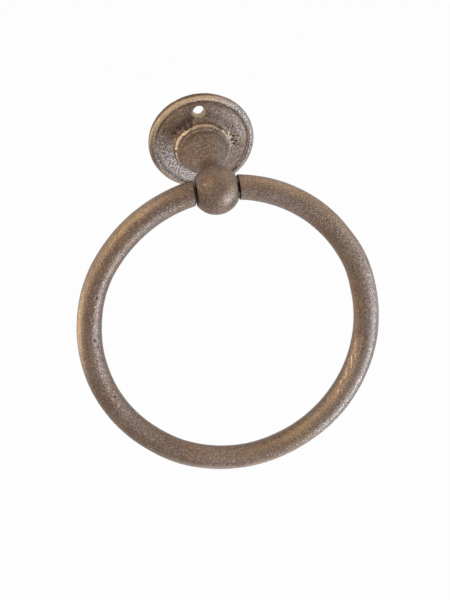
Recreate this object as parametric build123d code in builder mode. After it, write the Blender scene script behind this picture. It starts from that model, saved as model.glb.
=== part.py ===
"""Wall-mounted towel ring: a cast wall plate, a bell-footed post with a ball head,
and a heavy open ring that swings on a pin through the head.

The back of the plate lies on the wall plane Y = 0, the post stands out along -Y and +Z is up.
Turned shapes are drawn as (radius, -distance from the wall) and turned about the Y axis.
"""

import os
from math import acos, atan, cos, degrees, radians, sin, sqrt

from build123d import *

# Wall plate, in millimetres
plate_radius = 28.5
plate_edge = 1.4  # straight edge against the wall, behind the rounded rim
rim_height = 3.6  # crest of the rim above the wall
rim_width = 2.9
rim_step = 0.4  # drop from the crest to the field inside it
rim_slope = 0.4  # run of that drop
field_rise = 2.0  # how far the field climbs from the rim to the collar
field_dish = 0.1  # how far it sinks below a straight climb
collar_radius = 14.8
collar_height = 8.2  # outer edge of the raised seat round the post's foot
collar_slope = 1.0  # climb of the collar's top from that edge to the socket
collar_wall = 1.1
cove_round = 2.7  # hollow curve from the field up to the collar
seat_depth = 1.8  # socket in the collar that the foot stands in, below the collar's outer edge

# Two screw holes to the wall, one above the other
wall_hole_radius = 3.3
wall_hole_pitch = 41.8

# Post
foot_clearance = 0.2  # between the foot and its socket
foot_edge = 3.1  # straight edge of the foot
foot_bevel = 1.1
waist_radius = 5.2
waist_start = 27.0  # the bell ends here
neck_round = 3.0  # hollow curve from the waist to the ball
head_radius = 12.4
cheek_reach = 10.3  # X of the flats on the ball, which face the ring's ends
pivot_reach = 46.5  # distance of the pin's axis and the middle of the ball from the wall

# Ring
ring_radius = 73.0  # to the middle of the bar
bar_radius = 6.35
end_gap = 0.9  # between a flat of the head and the end of the ring
rest_swing = 26.0  # degrees that the ring stands out from the wall's plane

# Pivot pin
pin_radius = 2.5
pin_grip = 6.0  # length of pin inside each end of the ring
pin_spare = 0.4  # drilled depth beyond the end of the pin
pin_play = 0.06  # running clearance in the head
pin_seat = 0.02  # clearance in the ring's ends
pin_chamfer = 0.4

# Fixing screw from behind the plate
screw_radius = 3.0
screw_reach = 22.0  # tip of the screw, from the wall
screw_head_radius = 5.8
screw_head_edge = 0.4  # straight edge of the countersunk head
screw_sink = 0.4  # the head lies this far inside the back of the plate
screw_clearance = 0.25
thread_clearance = 0.05
tapped_spare = 2.0  # drilled depth beyond the tip
slot_width = 1.2
slot_depth = 1.3

# Places that follow from the sizes above
crest_radius = plate_radius - rim_width
field_radius = crest_radius - rim_slope
rim_floor = rim_height - rim_step
field_height = rim_floor + field_rise
field_middle = (rim_floor + field_height) / 2 - field_dish
cove_top = field_height + cove_round
cove_radius = collar_radius + cove_round
socket_radius = collar_radius - collar_wall
seat_height = collar_height - seat_depth
foot_radius = socket_radius - foot_clearance
foot_top = seat_height + foot_edge
bell_radius = foot_radius - foot_bevel
bell_start = foot_top + foot_bevel
bell_turn = 2 * degrees(atan((bell_radius - waist_radius) / (waist_start - bell_start)))
bell_round = (waist_start - bell_start) / (2 * sin(radians(bell_turn)))
neck_share = (waist_radius + neck_round) / (head_radius + neck_round)
neck_turn = degrees(acos(neck_share))
neck_start = pivot_reach - (head_radius + neck_round) * sqrt(1 - neck_share**2)
end_reach = cheek_reach + end_gap  # X of the ring's end faces
ring_drop = sqrt(ring_radius**2 - end_reach**2)  # from the pin's axis to the ring's centre
pivot = Vector(0, -pivot_reach, 0)
pin_axis = Vector(1, 0, 0)
hang = Vector(0, -sin(radians(rest_swing)), -cos(radians(rest_swing)))
ring_plane = Plane(origin=pivot + hang * ring_drop, x_dir=pin_axis, z_dir=hang.cross(pin_axis))
pin_plane = Plane(origin=pivot, z_dir=pin_axis)
pin_length = 2 * (end_reach + pin_grip)
screw_hole_radius = screw_radius + screw_clearance
sink_radius = screw_head_radius + screw_clearance
sink_edge = screw_sink + screw_head_edge
head_cone_end = sink_edge + screw_head_radius - screw_radius  # 90 degree head
sink_cone_end = sink_edge + sink_radius - screw_hole_radius

# Wall plate: one casting with a rounded rim, a climbing field and a collar that seats the post
with BuildPart() as wall_plate:
    with BuildSketch(Plane.XY):
        with BuildLine():
            Polyline(
                (sink_radius, 0),
                (plate_radius, 0),
                (plate_radius, -plate_edge),
            )
            EllipticalCenterArc(
                (crest_radius, -plate_edge),
                rim_width,
                rim_height - plate_edge,
                start_angle=0,
                arc_size=-90,
            )
            Line((crest_radius, -rim_height), (field_radius, -rim_floor))
            ThreePointArc(
                (field_radius, -rim_floor),
                ((field_radius + cove_radius) / 2, -field_middle),
                (cove_radius, -field_height),
            )
            CenterArc((cove_radius, -cove_top), cove_round, 90, 90)
            Polyline(
                (collar_radius, -cove_top),
                (collar_radius, -collar_height),
                (socket_radius, -collar_height - collar_slope),
                (socket_radius, -seat_height),
                (screw_hole_radius, -seat_height),
                (screw_hole_radius, -sink_cone_end),
                (sink_radius, -sink_edge),
                (sink_radius, 0),
            )
        make_face()
    revolve(axis=Axis.Y)
    with Locations(Plane.XZ):
        with Locations((0, wall_hole_pitch / 2), (0, -wall_hole_pitch / 2)):
            Hole(wall_hole_radius)
wall_plate.part.label = "wall_plate"

# Post: foot, bell, waist and ball head in one turned casting, with two flats on the ball and a
# cross bore for the pin
with BuildPart() as post:
    with BuildSketch(Plane.XY):
        with BuildLine():
            Polyline(
                (0, -seat_height),
                (foot_radius, -seat_height),
                (foot_radius, -foot_top),
                (bell_radius, -bell_start),
            )
            shoulder = JernArc((bell_radius, -bell_start), (0, -1), bell_round, -bell_turn)
            JernArc(shoulder @ 1, shoulder % 1, bell_round, bell_turn)
            Line((waist_radius, -waist_start), (waist_radius, -neck_start))
            JernArc((waist_radius, -neck_start), (0, -1), neck_round, neck_turn)
            CenterArc((0, -pivot_reach), head_radius, neck_turn, -90 - neck_turn)
            Line((0, -pivot_reach - head_radius), (0, -seat_height))
        make_face()
    revolve(axis=Axis.Y)
    for side in (1, -1):
        with Locations((side * (cheek_reach + head_radius), -pivot_reach, 0)):
            Box(2 * head_radius, 2 * head_radius, 2 * head_radius, mode=Mode.SUBTRACT)
    with Locations(pin_plane):
        Hole(pin_radius + pin_play)
    with Locations(Plane(origin=(0, -seat_height, 0), z_dir=(0, 1, 0))):
        Hole(screw_radius + thread_clearance, depth=screw_reach + tapped_spare - seat_height)
post.part.label = "post"

# Fixing screw: slotted countersunk machine screw that draws the foot into its socket
with BuildPart() as fixing_screw:
    with BuildSketch(Plane.XY):
        with BuildLine():
            Polyline(
                (0, -screw_sink),
                (screw_head_radius, -screw_sink),
                (screw_head_radius, -sink_edge),
                (screw_radius, -head_cone_end),
                (screw_radius, -screw_reach),
                (0, -screw_reach),
                close=True,
            )
        make_face()
    revolve(axis=Axis.Y)
    with Locations((0, -screw_sink, 0)):
        Box(2 * sink_radius, 2 * slot_depth, slot_width, mode=Mode.SUBTRACT)
fixing_screw.part.label = "fixing_screw"

# Ring: round bar bent to a circle and cut open at the top, each end drilled for the pin
with BuildPart() as ring:
    with Locations(ring_plane):
        Torus(ring_radius, bar_radius)
        with Locations((0, ring_radius, 0)):
            Box(2 * end_reach, 2 * ring_radius, 3 * bar_radius, mode=Mode.SUBTRACT)
    with Locations(pin_plane):
        Cylinder(pin_radius + pin_seat, pin_length + 2 * pin_spare, mode=Mode.SUBTRACT)
ring.part.label = "ring"

# Pivot pin: plain rod, fast in the ring's ends and free to turn in the head
with BuildPart() as pivot_pin:
    with Locations(pin_plane):
        Cylinder(pin_radius, pin_length)
    chamfer(pivot_pin.edges().filter_by(GeomType.CIRCLE), pin_chamfer)
pivot_pin.part.label = "pivot_pin"

os.makedirs("parts", exist_ok=True)
export_step(wall_plate.part, "parts/wall_plate.step")
export_step(post.part, "parts/post.step")
export_step(fixing_screw.part, "parts/fixing_screw.step")
export_step(ring.part, "parts/ring.step")
export_step(pivot_pin.part, "parts/pivot_pin.step")
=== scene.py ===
from math import atan2, cos, degrees, hypot, pi, radians, sin

import bpy
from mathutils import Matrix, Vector


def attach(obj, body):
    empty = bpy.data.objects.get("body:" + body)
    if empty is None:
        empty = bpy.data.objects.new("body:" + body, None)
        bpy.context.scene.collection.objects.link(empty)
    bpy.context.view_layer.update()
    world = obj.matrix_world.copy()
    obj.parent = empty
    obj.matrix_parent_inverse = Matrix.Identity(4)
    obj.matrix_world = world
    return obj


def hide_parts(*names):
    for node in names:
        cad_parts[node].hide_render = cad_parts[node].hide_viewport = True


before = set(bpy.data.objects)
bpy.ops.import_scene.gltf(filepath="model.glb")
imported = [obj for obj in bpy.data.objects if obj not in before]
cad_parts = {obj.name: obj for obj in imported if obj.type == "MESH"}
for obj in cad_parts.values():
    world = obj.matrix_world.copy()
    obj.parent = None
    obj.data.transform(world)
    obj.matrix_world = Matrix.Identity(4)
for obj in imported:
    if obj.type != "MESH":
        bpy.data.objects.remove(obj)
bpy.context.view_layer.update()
scene = bpy.context.scene
scene.view_settings.view_transform = "Standard"


# Wall plate: a round sand casting in brass, browned with age. A rounded rim runs round a pillowed
# field, and a collar in the middle seats the post. Two holes take the wall screws, and the upper
# one was cored, so it narrows towards the back.
MM = 0.001


def pick_nothing():
    """Leave edit mode with no object selected."""
    if bpy.context.object and bpy.context.object.mode != "OBJECT":
        bpy.ops.object.mode_set(mode="OBJECT")
    bpy.ops.object.select_all(action="DESELECT")


def turned(name, profile, steps=256):
    """Solid of revolution about Y from (radius, distance from the wall) points in millimetres."""
    pick_nothing()
    bpy.ops.mesh.primitive_plane_add(size=MM, location=(0, 0, 0))
    piece = bpy.context.object
    piece.name = name
    bpy.ops.object.mode_set(mode="EDIT")
    bpy.ops.mesh.merge(type="CENTER")
    radius, reach = profile[0]
    bpy.ops.transform.translate(value=(radius * MM, -reach * MM, 0))
    for next_radius, next_reach in profile[1:]:
        step = ((next_radius - radius) * MM, (reach - next_reach) * MM, 0)
        bpy.ops.mesh.extrude_region_move(TRANSFORM_OT_translate={"value": step})
        radius, reach = next_radius, next_reach
    bpy.ops.mesh.select_all(action="SELECT")
    bpy.ops.mesh.spin(steps=steps, angle=2 * pi, center=(0, 0, 0), axis=(0, 1, 0))
    bpy.ops.mesh.select_all(action="SELECT")
    bpy.ops.mesh.remove_doubles(threshold=0.01 * MM)
    bpy.ops.mesh.normals_make_consistent(inside=False)
    bpy.ops.object.mode_set(mode="OBJECT")
    return piece


def sliced(piece, cutter):
    """Cut one solid out of another and remove the cutter."""
    pick_nothing()
    bpy.context.view_layer.objects.active = piece
    cut = piece.modifiers.new("cut", "BOOLEAN")
    cut.operation = "DIFFERENCE"
    cut.solver = "EXACT"
    cut.object = cutter
    bpy.ops.object.modifier_apply(modifier=cut.name)
    bpy.data.objects.remove(cutter)


def bored(piece, centre, turn, radius, length):
    """Cut a round hole whose axis is Z turned by these angles."""
    pick_nothing()
    bpy.ops.mesh.primitive_cylinder_add(
        vertices=96, radius=radius, depth=length, location=centre, rotation=turn
    )
    sliced(piece, bpy.context.object)


def rough_skin(piece, size, height):
    """Lift and sink the skin in soft lumps of about this size."""
    grain = bpy.data.textures.new("cast_lumps", "CLOUDS")
    grain.noise_scale = size
    grain.noise_depth = 2
    skin = piece.modifiers.new("skin", "DISPLACE")
    skin.texture = grain
    skin.texture_coords = "LOCAL"
    skin.mid_level = 0.5
    skin.strength = height
    bpy.ops.object.modifier_apply(modifier=skin.name)


def cast_skin(piece, voxel, lumps):
    """Even out the mesh, soften its edges as a casting's are, and raise its uneven skin."""
    pick_nothing()
    bpy.context.view_layer.objects.active = piece
    piece.select_set(True)
    even = piece.modifiers.new("even", "REMESH")
    even.mode = "VOXEL"
    even.voxel_size = voxel
    bpy.ops.object.modifier_apply(modifier=even.name)
    soften = piece.modifiers.new("soften", "SMOOTH")
    soften.factor = 0.5
    soften.iterations = 3
    bpy.ops.object.modifier_apply(modifier=soften.name)
    for size, height in lumps:
        rough_skin(piece, size, height)
    bpy.ops.object.shade_smooth()


def marked(piece, name, amount):
    """Store amount(x, reach, z), from 0 to 1, at each point of the skin. It takes millimetres."""
    values = [amount(v.co.x / MM, -v.co.y / MM, v.co.z / MM) for v in piece.data.vertices]
    layer = piece.data.attributes.new(name, "FLOAT", "POINT")
    layer.data.foreach_set("value", values)


def pressed(piece, name, height):
    """Raise the skin by this height, or sink it if negative, where it is marked with the name."""
    group = piece.vertex_groups.new(name=name)
    for index, mark in enumerate(piece.data.attributes[name].data):
        if mark.value > 0:
            group.add([index], mark.value, "REPLACE")
    press = piece.modifiers.new("press", "DISPLACE")
    press.vertex_group = name
    press.mid_level = 0.0
    press.strength = height
    bpy.ops.object.modifier_apply(modifier=press.name)


def band(value, low, high, soft):
    """1 between low and high, falling to 0 over soft outside them."""
    return max(0.0, min(1.0, (value - low) / soft + 1.0, (high - value) / soft + 1.0))


def spots(x, z, places):
    """Largest of several round spots, each (x, z, radius), with a soft edge."""
    steepness = 1.6
    depths = [1.0 - hypot(x - at_x, z - at_z) / radius for at_x, at_z, radius in places]
    return min(1.0, steepness * max(0.0, *depths))


class Shade:
    """A socket of a node tree. Arithmetic on it adds Math nodes."""

    def __init__(self, tree, socket=None):
        self.tree = tree
        self.socket = socket

    def node(self, kind, settings, sockets, out=0):
        """Add a node: its settings come first, then the values or links of its sockets."""
        made = self.tree.nodes.new("ShaderNode" + kind)
        for name, value in settings.items():
            setattr(made, name, value)
        for name, value in sockets.items():
            if isinstance(value, Shade):
                self.tree.links.new(value.socket, made.inputs[name])
            else:
                made.inputs[name].default_value = value
        return Shade(self.tree, made.outputs[out] if len(made.outputs) else None)

    def maths(self, operation, *values):
        """One Math node on numbers and sockets."""
        return self.node("Math", {"operation": operation}, dict(enumerate(values)))

    def __add__(self, other):
        return self.maths("ADD", self, other)

    __radd__ = __add__

    def __sub__(self, other):
        return self.maths("SUBTRACT", self, other)

    def __rsub__(self, other):
        return self.maths("SUBTRACT", other, self)

    def __mul__(self, other):
        return self.maths("MULTIPLY", self, other)

    __rmul__ = __mul__

    def ramp(self, low, high):
        """0 below low, 1 above high, smooth between."""
        return self.node(
            "MapRange",
            {"interpolation_type": "SMOOTHSTEP"},
            {"Value": self, "From Min": low, "From Max": high},
        )

    def noise(self, place, scale, detail, rough=0.6):
        """Cloudy noise with about this many patches to the metre."""
        return self.node(
            "TexNoise", {}, {"Vector": place, "Scale": scale, "Detail": detail, "Roughness": rough}
        )

    def blend(self, share, first, second):
        """The first colour at a share of 0 and the second at 1."""
        return self.node("Mix", {"data_type": "RGBA"}, {0: share, 6: first, 7: second}, out=2)


def bare_material(name):
    """A material with an empty node tree, and the Shade that starts it."""
    material = bpy.data.materials.new(name)
    material.use_nodes = True
    material.node_tree.nodes.clear()
    return material, Shade(material.node_tree)


PATINA = (0.156, 0.094, 0.061, 1)
PATINA_GREY = (0.166, 0.112, 0.086, 1)
PATINA_DARK = (0.104, 0.062, 0.046, 1)
PATINA_GOLD = (0.220, 0.134, 0.070, 1)
# Painted shade
PATINA_SHADE = (0.130, 0.083, 0.056, 1)
# Painted cool highlight and its glints
COOL_HIGHLIGHT = (0.268, 0.214, 0.189, 1)
COOL_GLINT = (0.640, 0.560, 0.520, 1)
SAND = (0.360, 0.270, 0.215, 1)
# Dark specks and pits, and painted shadow and shade
PITCH = (0.038, 0.026, 0.020, 1)
# Painted warm highlight, partly rubbed metal
WARM_HIGHLIGHT = (0.500, 0.340, 0.205, 1)
# Bare chips, and painted highlights and glints
BRIGHT = (0.640, 0.480, 0.330, 1)


def aged_brass(name, grain):
    """Browned cast brass. Grain is how sandy it is, and the marks say where it differs."""
    material, start = bare_material(name)
    place = start.node("TexCoord", {}, {}, out="Object")
    warm_highlight_and_rubbing, cool_highlight, wear_and_highlight, pits_and_shadow, painted_shade, dull = [
        start.node("Attribute", {"attribute_name": mark}, {}, out="Fac")
        for mark in ("warm_highlight_and_rubbing", "cool_highlight", "wear_and_highlight", "pits_and_shadow", "painted_shade", "dull")
    ]
    cloud = start.noise(place, scale=38.0, detail=4.0)
    warmth = start.noise(place, scale=70.0, detail=3.0)
    mottle = start.noise(place, scale=210.0, detail=4.0)
    ragged = start.noise(place, scale=800.0, detail=4.0, rough=0.7)
    sand = start.noise(place, scale=1250.0, detail=2.0, rough=0.5)
    specks = start.noise(place, scale=1600.0, detail=1.0, rough=0.5)
    dust = start.noise(place, scale=2600.0, detail=2.0, rough=0.6)
    sandy = grain + cool_highlight * 0.35
    # Brown skin in cloudy patches, darker with painted shade where the dull mark lies
    colour = start.blend(cloud.ramp(0.40, 0.62), PATINA, PATINA_GREY)
    colour = start.blend(warmth.ramp(0.50, 0.70) * 0.6, colour, PATINA_GOLD)
    colour = start.blend(mottle.ramp(0.50, 0.78) * 0.5, colour, PATINA_DARK)
    colour = start.blend(dull * 0.25, colour, PATINA_SHADE)
    colour = start.blend(mottle.ramp(0.42, 0.60) * dull * 0.45, colour, PATINA_DARK)
    colour = start.blend(ragged.ramp(0.48, 0.62) * dull * 0.60, colour, SAND)
    # Painted cool and warm highlights with their glints, partly on rubbed metal, and the bright and
    # dark grains of the sand casting
    colour = start.blend(cool_highlight, colour, COOL_HIGHLIGHT)
    colour = start.blend(warm_highlight_and_rubbing, colour, WARM_HIGHLIGHT)
    colour = start.blend(sand.ramp(0.50, 0.66) * sandy * 0.7, colour, SAND)
    colour = start.blend(sand.ramp(0.53, 0.62) * cool_highlight * 0.8, colour, COOL_GLINT)
    colour = start.blend(sand.ramp(0.50, 0.60) * warm_highlight_and_rubbing * 0.6, colour, BRIGHT)
    colour = start.blend(specks.ramp(0.53, 0.66) * sandy * 0.6, colour, PITCH)
    # Bare chips and painted highlights with ragged edges, dark pits with a painted shadow, and
    # painted shade
    colour = start.blend((wear_and_highlight - ragged).ramp(-0.02, 0.06), colour, BRIGHT)
    colour = start.blend((pits_and_shadow * 1.3 - ragged).ramp(-0.10, 0.30) * 0.8, colour, PITCH)
    colour = start.blend(painted_shade, colour, PITCH)
    rough = 0.36 + (dust - 0.5) * 0.30 + dull * 0.22 + pits_and_shadow * 0.2
    height = (sand - specks * 0.8 + dust * 0.3) * sandy
    bump = start.node("Bump", {}, {"Strength": 1.0, "Distance": 0.26 * MM, "Height": height})
    surface = start.node(
        "BsdfPrincipled",
        {},
        {"Base Color": colour, "Metallic": 0.8, "Roughness": rough, "Normal": bump},
    )
    start.node("OutputMaterial", {}, {"Surface": surface})
    return material


def from_to(low, high, count):
    """Evenly spaced numbers from low to high, with both ends."""
    return [low + (high - low) * k / count for k in range(count + 1)]


def arc(middle, across, along, start, end, count):
    """Profile points on an arc about middle, with its radii across and along the axis."""
    turns = [radians(turn) for turn in from_to(start, end, count)]
    return [(middle[0] + across * cos(a), middle[1] + along * sin(a)) for a in turns]


# Radii and distances from the wall in millimetres, as the profile takes them
plate_radius = 28.4
back_middle = 17.0
rim_crest = 25.6
rim_edge = 0.8
rim_width = 2.8
rim_rise = 2.4
field_radius = 17.5
field_edge = 2.2
field_width = 7.2
field_rise = 2.7
cove_top = 7.6
cove_round = 2.7
collar_radius = 14.8
collar_edge = 8.2
lip_radius = 13.1
lip_top = 9.6
seat_height = 6.4
screw_hole_radius = 3.25
sink_depth = 3.6
sink_radius = 6.05
sink_edge = 0.8

plate_profile = [(sink_radius, 0.0), (back_middle, 0.0), (plate_radius, 0.0)]
plate_profile += arc((rim_crest, rim_edge), rim_width, rim_rise, 0, 90, 14)
plate_profile += arc((field_radius, field_edge), field_width, field_rise, 0, 90, 20)
plate_profile += arc((field_radius, cove_top), cove_round, cove_round, -90, -180, 12)[1:]
plate_profile += [(collar_radius, collar_edge), (lip_radius, lip_top), (lip_radius, seat_height)]
plate_profile += [(screw_hole_radius, seat_height), (screw_hole_radius, sink_depth)]
plate_profile += [(sink_radius, sink_edge), (sink_radius, 0.0)]
plate = turned("wall_plate_casting", plate_profile)

# The casting is a little out of round, and its rim lies off the middle of the collar
out_of_round = 0.020
off_centre = 0.4 * MM
longest_way = Vector((-0.6, 0.0, 0.8))
for point in plate.data.vertices:
    outside = band(hypot(point.co.x, point.co.z) / MM, 25.0, 30.0, 8.0)
    along = longest_way * point.co.dot(longest_way)
    across = Vector((point.co.x, 0.0, point.co.z)) - along
    point.co += along * out_of_round - across * out_of_round / 2
    point.co.x += off_centre * outside

# The upper hole is a slanting taper, and the lower one a plain bore
hole_middle = -3 * MM
hole_length = 20 * MM
upper_hole_height = 19.9 * MM
lower_hole_height = -20.9 * MM
lower_hole_radius = 3.3 * MM
pick_nothing()
bpy.ops.mesh.primitive_cone_add(
    vertices=96,
    radius1=1.5 * MM,
    radius2=4.7 * MM,
    depth=hole_length,
    location=(-0.5 * MM, hole_middle, upper_hole_height),
    rotation=(radians(82), 0, 0),
)
sliced(plate, bpy.context.object)
lower_hole = (0, hole_middle, lower_hole_height)
bored(plate, lower_hole, (radians(90), 0, 0), lower_hole_radius, hole_length)
cast_skin(plate, voxel=0.32 * MM, lumps=[(9 * MM, 0.20 * MM), (1.6 * MM, 0.10 * MM)])


def plate_pits_and_shadow(x, reach, z):
    """Casting pits right of the collar, a painted shadow sunk into the field above the collar's
    upper left, and dark sunken patches to its left.
    """
    if reach < 2:
        return 0.0
    small = [(12.9, 10.7, 0.5), (16.8, 9.4, 0.6), (15.4, 4.9, 0.7), (17.0, 3.6, 0.9)]
    small += [(16.3, 1.6, 1.0), (17.4, -1.2, 0.8), (19.4, -2.1, 0.6), (19.3, 3.3, 0.6)]
    small += [(18.2, 0.4, 0.8), (20.6, 1.2, 0.5), (13.8, 8.8, 0.5), (-18.0, 6.4, 0.6)]
    # Painted shadow of the post above the collar's upper left, also sunk in
    shadow_patch = [(-8.6, 13.4, 2.6), (-5.8, 15.0, 2.4), (-11.2, 12.4, 2.0), (-14.0, 9.6, 1.8)]
    left = [(-21.0, -2.0, 1.4), (-19.4, -4.4, 1.2), (-20.6, 1.0, 1.3), (-18.4, -0.8, 1.2)]
    return max(spots(x, z, small), 0.6 * spots(x, z, shadow_patch), 0.5 * spots(x, z, left))


def plate_wear_and_highlight(x, reach, z):
    """Bare metal ragged on the collar's lip at the upper left and thin at its lower left; painted
    highlight pale on the lip's right, in its cove at the right and thin along the rim's crest at
    the right.
    """
    radius = hypot(x, z)
    turn = degrees(atan2(z, x))
    lip = band(reach, 7.0, 9.2, 0.5)
    ragged = band(radius, 14.1, 15.4, 0.8) * band(turn, 120, 172, 6) * 0.59
    thin = band(radius, 14.0, 14.8, 0.2) * band(turn, -178, -108, 8) * 0.55
    pale = band(radius, 14.3, 15.2, 0.5) * band(turn, -55, 42, 12) * 0.58
    crest = band(radius, 25.4, 25.9, 0.2) * band(turn, -40, 60, 15) * 0.56
    cove = band(radius, 14.6, 15.9, 0.7) * band(reach, 5.4, 9.2, 0.6)
    rubbed_highlight = max(band(turn, -8, 22, 10), band(turn, -52, -40, 8)) * 0.57
    return max(lip * max(ragged, thin, pale), cove * rubbed_highlight, crest)


def plate_warm_highlight(x, reach, z):
    """Painted warm highlight on the rim's left, the lip's top and inside the upper hole."""
    radius = hypot(x, z)
    turn = degrees(atan2(z, x)) % 360
    sides = max(band(turn, 80, 145, 36), band(turn, 212, 250, 15) * 0.3)
    rim = band(radius, 25.5, 27.9, 0.4) * band(reach, 0.6, 4.0, 0.4) * sides
    lip = band(radius, 14.0, 15.0, 0.3) * band(reach, 7.4, 9.2, 0.4) * band(turn, 62, 112, 12)
    wall = band(hypot(x + 0.5, z - 20.0), 0.0, 3.3, 0.3) * band(reach, 0.6, 4.6, 0.3)
    return max(rim, lip * 0.6, wall * 0.7)


def plate_painted_shade(x, reach, z):
    """Painted shade in the groove inside the rim and along the plate's outer edge."""
    radius = hypot(x, z)
    groove = band(radius, 24.6, 24.9, 0.3) * band(reach, 1.0, 4.0, 0.3)
    edge = band(radius, 28.2, 30.0, 0.3) * band(reach, 0.0, 1.4, 0.4)
    return max(groove * 0.30, edge * 0.4)


def plate_cool_highlight(x, reach, z):
    """Painted cool highlight on the sandy field's lower left, and less of it on the right and on
    the rim's right.
    """
    radius = hypot(x, z)
    turn = degrees(atan2(z, x)) % 360
    field = band(radius, 16.0, 24.4, 0.6) * band(reach, 2.6, 9.0, 0.3)
    rim = band(radius, 26.4, 28.2, 0.4) * band(reach, 0.8, 4.0, 0.3)
    sides = max(band(turn, 184, 265, 35), band(turn, 10, 40, 20) * 0.18)
    return max(field * sides, rim * band((turn + 90) % 360, 50, 150, 20) * 0.7)


marked(plate, "pits_and_shadow", plate_pits_and_shadow)
marked(plate, "wear_and_highlight", plate_wear_and_highlight)
marked(plate, "warm_highlight_and_rubbing", plate_warm_highlight)
marked(plate, "painted_shade", plate_painted_shade)
marked(plate, "cool_highlight", plate_cool_highlight)
pressed(plate, "pits_and_shadow", height=-0.5 * MM)
pressed(plate, "wear_and_highlight", height=0.15 * MM)
plate.data.materials.append(aged_brass("plate_brass", grain=0.95))
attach(plate, "bracket")
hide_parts("wall_plate")


# Fixing screw: a slotted countersunk machine screw of turned steel. It is driven from behind the
# plate into the tapped post and draws the post's foot down on its seat.
def turned_steel(name, tint):
    """Lathe-turned steel with fine scratches and a dull film."""
    material, start = bare_material(name)
    place = start.node("TexCoord", {}, {}, out="Object")
    film = start.noise(place, scale=260.0, detail=4.0)
    scratch = start.noise(place, scale=2400.0, detail=2.0)
    dull = tuple(c * 0.55 for c in tint[:3]) + (1,)
    colour = start.blend(film.ramp(0.4, 0.7), tint, dull)
    rough = 0.30 + scratch * 0.25
    surface = start.node(
        "BsdfPrincipled", {}, {"Base Color": colour, "Metallic": 1.0, "Roughness": rough}
    )
    start.node("OutputMaterial", {}, {"Surface": surface})
    return material


def dress(node, material):
    """Give a CAD node this material in place of its own."""
    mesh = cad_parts[node].data
    mesh.materials.clear()
    mesh.materials.append(material)


dress("fixing_screw", turned_steel("screw_steel", tint=(0.52, 0.51, 0.49, 1)))


# Post: foot, bell, waist and ball head in one turned brass casting. It stands in the plate's
# collar, held by the screw. The ball has a flat on each side and is cross-bored for the pin.
# Its sizes are in millimetres, as the plate's are, and its turns in degrees.
foot_radius = 13.5
foot_top = 9.5
tapped_radius = 3.05
tapped_depth = 24.0
bell_middle = 1.261
bell_start = 10.6
bell_round = 11.139
bell_turn = 47.41
waist_middle = 16.339
waist_start = 27.0
neck_middle = 8.2
neck_start = 33.465
neck_round = 3.0
neck_turn = 57.83
head_radius = 12.4
head_reach = 46.5
cheek_reach = 10.3
cutter_size = 26.0
pin_bore_radius = 2.56
pin_bore_length = 40.0

post_profile = [(0.0, tapped_depth), (tapped_radius, tapped_depth), (tapped_radius, seat_height)]
post_profile += [(foot_radius, seat_height), (foot_radius, foot_top)]
post_profile += arc((bell_middle, bell_start), bell_round, bell_round, 0, bell_turn, 12)
post_profile += arc(
    (waist_middle, waist_start), bell_round, bell_round, 180 + bell_turn, 180, 12
)[1:]
post_profile += arc((neck_middle, neck_start), neck_round, neck_round, 180, 180 - neck_turn, 8)
post_profile += arc((0.0, head_reach), head_radius, head_radius, -neck_turn, 90, 40)[1:-1]
post_profile += [(0.0, head_reach + head_radius)]
post = turned("post_casting", post_profile)
for side in (1, -1):
    pick_nothing()
    cutter_x = side * (cheek_reach + cutter_size / 2)
    bpy.ops.mesh.primitive_cube_add(
        size=cutter_size * MM, location=(cutter_x * MM, -head_reach * MM, 0)
    )
    sliced(post, bpy.context.object)
bored(
    post,
    (0, -head_reach * MM, 0),
    (0, radians(90), 0),
    pin_bore_radius * MM,
    pin_bore_length * MM,
)
cast_skin(post, voxel=0.35 * MM, lumps=[(8 * MM, 0.16 * MM), (1.6 * MM, 0.08 * MM)])


def nearest_to(x, reach, z, places):
    """Distance to the nearest of several places, each (x, reach, z)."""
    return min((Vector((x, reach, z)) - Vector(place)).length for place in places)


def post_highlight_and_flecks(x, reach, z):
    """A thin painted highlight on the top of the foot's edge, and bright flecks on the neck and
    ball.
    """
    turn = degrees(atan2(z, x))
    foot = band(hypot(x, z), 12.6, 13.1, 0.2) * band(reach, 9.6, 10.6, 0.3)
    flecks = [(-1.4, 44.0, 12.1), (-6.6, 52.6, 8.6), (6.2, 55.9, 5.3)]
    fleck = band(nearest_to(x, reach, z, flecks), 0.0, 0.5, 0.4)
    return max(foot * band(turn, 70, 130, 15) * 0.46, fleck * 0.51)


def post_painted_shade(x, reach, z):
    """Painted shade on the flats beside the ring's ends."""
    return band(abs(x), 10.1, 11.0, 0.2) * band(reach, 36.0, 60.0, 1.0) * 0.9


def post_rough_and_shade(x, reach, z):
    """The bell and the top and left of the ball: a duller, rougher skin darkened as painted shade;
    the front is left smooth.
    """
    top = band(z, 7.0, 14.0, 5.0) * band(reach, 34.0, 48.0, 5.0)
    left = band(x, -11.0, -5.0, 3.0) * band(reach, 36.0, 56.0, 4.0)
    return max(band(reach, 0.0, 24.0, 6.0), top * 0.7, left * 0.5)


marked(post, "wear_and_highlight", post_highlight_and_flecks)
marked(post, "painted_shade", post_painted_shade)
marked(post, "dull", post_rough_and_shade)
post.data.materials.append(aged_brass("post_brass", grain=0.75))
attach(post, "bracket")
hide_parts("post")


# Pivot pin: a plain rod of turned steel, browned like the brass round it. It runs through the
# head's cross bore, free to turn there, and is fast in both ends of the ring.
dress("pivot_pin", turned_steel("pin_steel", tint=(0.10, 0.082, 0.066, 1)))


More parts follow.
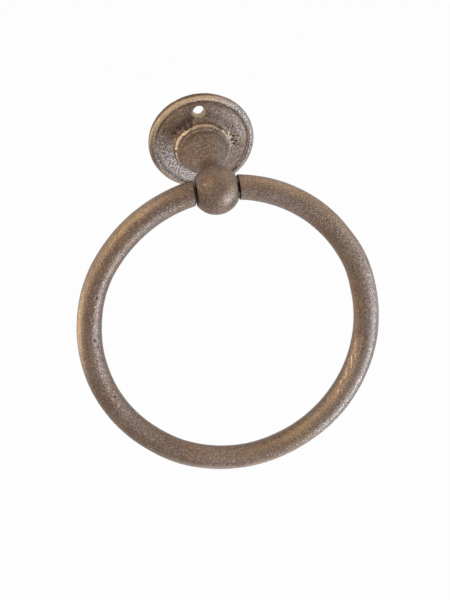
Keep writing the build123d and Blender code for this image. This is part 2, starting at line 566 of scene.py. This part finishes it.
# Ring: a heavy round brass bar bent to a circle and cut open at the top. The cut ends face the
# head and are drilled for the pin, so that the ring swings on it.
ring_radius = 73.0 * MM
bar_radius = 6.35 * MM
end_reach = 11.2 * MM
end_round = 0.6 * MM
end_steps = 5
opening_reach = 30 * MM
pin_hole_radius = 2.52 * MM
pin_hole_depth = 6.4 * MM
pin_reach = head_reach * MM
swing = radians(26.0)
ring_drop = (ring_radius**2 - end_reach**2) ** 0.5


def pick_faces(piece, wanted):
    """Enter edit mode with only the faces that wanted(face) accepts selected."""
    bpy.ops.object.mode_set(mode="EDIT")
    bpy.ops.mesh.select_mode(type="FACE")
    bpy.ops.mesh.select_all(action="DESELECT")
    bpy.ops.object.mode_set(mode="OBJECT")
    for face in piece.data.polygons:
        face.select = wanted(face)
    bpy.ops.object.mode_set(mode="EDIT")


pick_nothing()
bpy.ops.mesh.primitive_torus_add(
    major_segments=240,
    minor_segments=80,
    major_radius=ring_radius,
    minor_radius=bar_radius,
    rotation=(radians(90), 0, 0),
)
ring = bpy.context.object
ring.name = "ring_bar"
bpy.ops.object.transform_apply(location=True, rotation=True, scale=True)

# The edges along the bar are longer than those round it, and are divided to match
bpy.ops.object.mode_set(mode="EDIT")
bpy.ops.mesh.select_mode(type="EDGE")
bpy.ops.mesh.select_all(action="DESELECT")
bpy.ops.object.mode_set(mode="OBJECT")
points = ring.data.vertices
for edge in ring.data.edges:
    first, second = edge.vertices
    edge.select = (points[first].co - points[second].co).length > 1 * MM
bpy.ops.object.mode_set(mode="EDIT")
bpy.ops.mesh.subdivide(number_cuts=3)
bpy.ops.object.mode_set(mode="OBJECT")

# Each half of the top is cut off square, rounded at the edge and drilled
for side in (1, -1):
    cut = side * (end_reach + end_round)
    pick_faces(ring, lambda f: f.center.z > 0 and 0 <= f.center.x * side < opening_reach)
    bpy.ops.mesh.bisect(
        plane_co=(cut, 0, 0),
        plane_no=(side, 0, 0),
        use_fill=True,
        clear_inner=True,
        threshold=0.001 * MM,
    )
    bpy.ops.object.mode_set(mode="OBJECT")
    pick_faces(ring, lambda f: f.normal.x * side < -0.99 and abs(f.center.x - cut) < 0.01 * MM)
    bpy.ops.object.mode_set(mode="OBJECT")
    middle = [f.center.copy() for f in ring.data.polygons if f.select][0]
    bpy.ops.object.mode_set(mode="EDIT")
    was = 1.0
    for turn in from_to(0.0, pi / 2, end_steps)[1:]:
        step = end_round * (sin(turn) - sin(turn - pi / 2 / end_steps))
        size = 1.0 - (1.0 - cos(turn)) * end_round / bar_radius
        bpy.ops.mesh.extrude_region_move(TRANSFORM_OT_translate={"value": (-side * step, 0, 0)})
        bpy.ops.transform.resize(value=(1, size / was, size / was), center_override=middle)
        was = size
    hole = pin_hole_radius / bar_radius / was
    bpy.ops.mesh.extrude_region_move(TRANSFORM_OT_translate={"value": (0, 0, 0)})
    bpy.ops.transform.resize(value=(1, hole, hole), center_override=middle)
    into = {"value": (side * pin_hole_depth, 0, 0)}
    bpy.ops.mesh.extrude_region_move(TRANSFORM_OT_translate=into)
    bpy.ops.object.mode_set(mode="OBJECT")
bpy.ops.object.mode_set(mode="EDIT")
bpy.ops.mesh.select_all(action="SELECT")
bpy.ops.mesh.normals_make_consistent(inside=False)
bpy.ops.object.mode_set(mode="OBJECT")

right_thicker = 0.055
right_inward = 0.12 * MM
bump_height = 0.35 * MM
shoulder_lean = 0.012
lean_height = 60 * MM


def bar_unevenness(along):
    """The bar's thickness as a share, and how far it lies outside its circle, in metres."""
    right = band((along + 180) % 360, 136, 190, 22)
    bumps = max(band(along, 18, 22, 11), band(along, 148, 156, 12), band(along, 243, 272, 14))
    return 1.0 + right_thicker * right, bump_height * bumps - right_inward * right


for point in ring.data.vertices:
    distance = hypot(point.co.x, point.co.z)
    thickness, outward = bar_unevenness(degrees(atan2(point.co.z, point.co.x)) % 360)
    grown = (ring_radius + (distance - ring_radius) * thickness + outward) / distance
    point.co = Vector((point.co.x * grown, point.co.y * thickness, point.co.z * grown))
    share = max(0.0, min(1.0, point.co.z / lean_height))
    point.co.z += shoulder_lean * point.co.x * share * share * (3 - 2 * share)
for size, height in ((22 * MM, 0.30 * MM), (1.6 * MM, 0.08 * MM)):
    rough_skin(ring, size, height)
ring.rotation_euler = (-swing, 0, 0)
ring.location = (0, -pin_reach - ring_drop * sin(swing), -ring_drop * cos(swing))
bpy.ops.object.transform_apply(location=True, rotation=True, scale=True)
bpy.ops.object.shade_smooth()


def ring_pits(x, reach, z):
    """A few casting pits on the left limb."""
    pits_and_shadow = [(-66.3, 71.8, -37.8), (-70.4, 81.0, -57.4)]
    pits_and_shadow += [(-68.9, 81.8, -61.3), (-64.1, 94.3, -86.3)]
    return band(nearest_to(x, reach, z, pits_and_shadow), 0.0, 0.35, 0.45)


def on_ring(x, reach, z):
    """Degrees along the ring from its right limb, and round the bar from outside to front."""
    out = reach * MM - pin_reach - ring_drop * sin(swing)
    up = z * MM + ring_drop * cos(swing)
    height = up * cos(swing) - out * sin(swing)
    front = up * sin(swing) + out * cos(swing)
    along = degrees(atan2(height, x * MM)) % 360
    return along, degrees(atan2(front, hypot(x * MM, height) - ring_radius))


def ring_warm_highlight_and_rubbing(x, reach, z):
    """Painted warm highlight on the upper left limb, the right shoulder and inside the lower right,
    with rubbed metal round the scratches there.
    """
    along, around = on_ring(x, reach, z)
    left = band(along, 118, 176, 16) * band(around, 26, 46, 26)
    right = band(along, 35, 78, 15) * band(around, 10, 60, 25)
    low = band(along, 255, 332, 15) * band(around, 100, 150, 20)
    rubbed_highlight = band(along, 318, 343, 8) * band(around, 120, 152, 12)
    return max(left * 0.34, right * 0.18, low * 0.15, rubbed_highlight * 0.36)


def ring_cool_highlight(x, reach, z):
    """Painted cool highlight along the outside of the right limb."""
    along, around = on_ring(x, reach, z)
    return band((along + 90) % 360, 35, 105, 15) * band(around, 10, 72, 15) * 0.22


def ring_worn(x, reach, z):
    """Bright slanting scratches inside the lower right limb, each (along, around, length)."""
    along, around = on_ring(x, reach, z)
    strokes = [(343, 143, 2.6), (339, 132, 1.4), (337, 146, 2.0), (335, 137, 2.4)]
    strokes += [(331, 148, 1.2), (329, 140, 1.8), (325, 145, 1.5), (321, 134, 1.0)]
    # Millimetres to a degree along the ring and round the bar, and the scratches' slant
    along_scale = 1.27
    around_scale = 0.11
    slant = 0.2
    deepest = 0.0
    for stroke_along, stroke_around, length in strokes:
        run = (along - stroke_along) * along_scale
        aside = (around - stroke_around) * around_scale - slant * run
        deepest = max(deepest, band(run, -length, length, 0.6) * band(aside, -0.2, 0.2, 0.5))
    return deepest * 0.60


def ring_rough_and_shade(x, reach, z):
    """Painted shade on a rougher skin inside the right limb."""
    along, around = on_ring(x, reach, z)
    return band((along + 90) % 360, 60, 110, 15) * band(around, 85, 150, 20) * 0.6


def ring_painted_shade(x, reach, z):
    """Painted shade on the cut ends, and a streak of painted shade along the front of the lower
    right limb.
    """
    along, around = on_ring(x, reach, z)
    ends = band(abs(x), 0.0, 11.6, 0.2) * band(z, -15.0, 15.0, 1.0)
    streak = band(along, 285, 345, 15) * band(around, 82, 102, 14)
    return max(ends * 0.9, streak * 0.22)


marked(ring, "warm_highlight_and_rubbing", ring_warm_highlight_and_rubbing)
marked(ring, "cool_highlight", ring_cool_highlight)
marked(ring, "dull", ring_rough_and_shade)
marked(ring, "painted_shade", ring_painted_shade)
marked(ring, "pits_and_shadow", ring_pits)
marked(ring, "wear_and_highlight", ring_worn)
pressed(ring, "pits_and_shadow", height=-0.5 * MM)
ring.data.materials.append(aged_brass("ring_brass", grain=0.75))
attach(ring, "swinging_ring")
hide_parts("ring")


# Studio: a pale floor well below the part, a white surround and six softboxes. A cool window stands
# at the lower right front, with cool cards below and at the right, and there are warm lamps at the
# left, behind at the upper right, and at the upper left.
floor_size = 8.0
floor_drop = 1.1
floor_glow = 0.97
surround_light = 0.44


def seen_share(start):
    """1 for what the camera sees, also in a reflection or through glass, and 0 for other light."""
    seen = start.node("LightPath", {}, {}, out="Is Camera Ray")
    for ray in ("Is Glossy Ray", "Is Transmission Ray"):
        seen = start.maths("MAXIMUM", seen, start.node("LightPath", {}, {}, out=ray))
    return seen


pick_nothing()
bpy.ops.mesh.primitive_plane_add(size=floor_size, location=(0, 0, -floor_drop))
floor = bpy.context.object
floor.name = "floor"
paper, start = bare_material("floor_paper")
matte = start.node("BsdfDiffuse", {}, {"Color": (0.9, 0.9, 0.9, 1)})
glow = start.node("Emission", {}, {"Color": (1, 1, 1, 1), "Strength": 1.0})
sheet = start.node("MixShader", {}, {0: seen_share(start) * floor_glow, 1: matte, 2: glow})
start.node("OutputMaterial", {}, {"Surface": sheet})
floor.data.materials.append(paper)

world = bpy.data.worlds.new("surround")
scene.world = world
world.use_nodes = True
world.node_tree.nodes.clear()
start = Shade(world.node_tree)
strength = surround_light + seen_share(start) * (1 - surround_light)
sky = start.node("Background", {}, {"Color": (1, 1, 1, 1), "Strength": strength})
start.node("OutputWorld", {}, {"Surface": sky})


def softbox(name, direction, size, power, colour):
    """Hang a square lamp in this direction from the part, turned towards it."""
    distance = 0.7
    target = Vector((0, -0.06, -0.05))
    lamp = bpy.data.lights.new(name, "AREA")
    lamp.size = size
    lamp.energy = power
    lamp.color = colour
    holder = bpy.data.objects.new(name, lamp)
    scene.collection.objects.link(holder)
    towards = Vector(direction).normalized()
    holder.location = target + towards * distance
    holder.rotation_euler = towards.to_track_quat("Z", "Y").to_euler()


softbox("window", (0.62, -0.70, -0.30), size=0.32, power=4.6, colour=(0.57, 0.75, 1.0))
softbox("low_card", (0.11, -0.36, -0.92), size=0.55, power=1.5, colour=(0.82, 0.91, 1.0))
softbox("right_card", (0.92, -0.15, 0.0), size=0.42, power=1.9, colour=(0.62, 0.80, 1.0))
softbox("left_lamp", (-0.96, 0.17, -0.22), size=0.34, power=1.3, colour=(1.0, 0.86, 0.62))
softbox("right_lamp", (0.60, 0.38, 0.70), size=0.40, power=0.55, colour=(1.0, 0.88, 0.68))
softbox("top_lamp", (-0.60, -0.12, 0.79), size=0.45, power=1.3, colour=(1.0, 0.83, 0.56))

view = bpy.data.cameras.new("camera")
view.lens = 57.6
camera = bpy.data.objects.new("camera", view)
scene.collection.objects.link(camera)
camera.location = (-0.06219, -0.43536, 0.27904)
camera.rotation_euler = (radians(48.118), radians(1.415), radians(-10.741))
scene.camera = camera
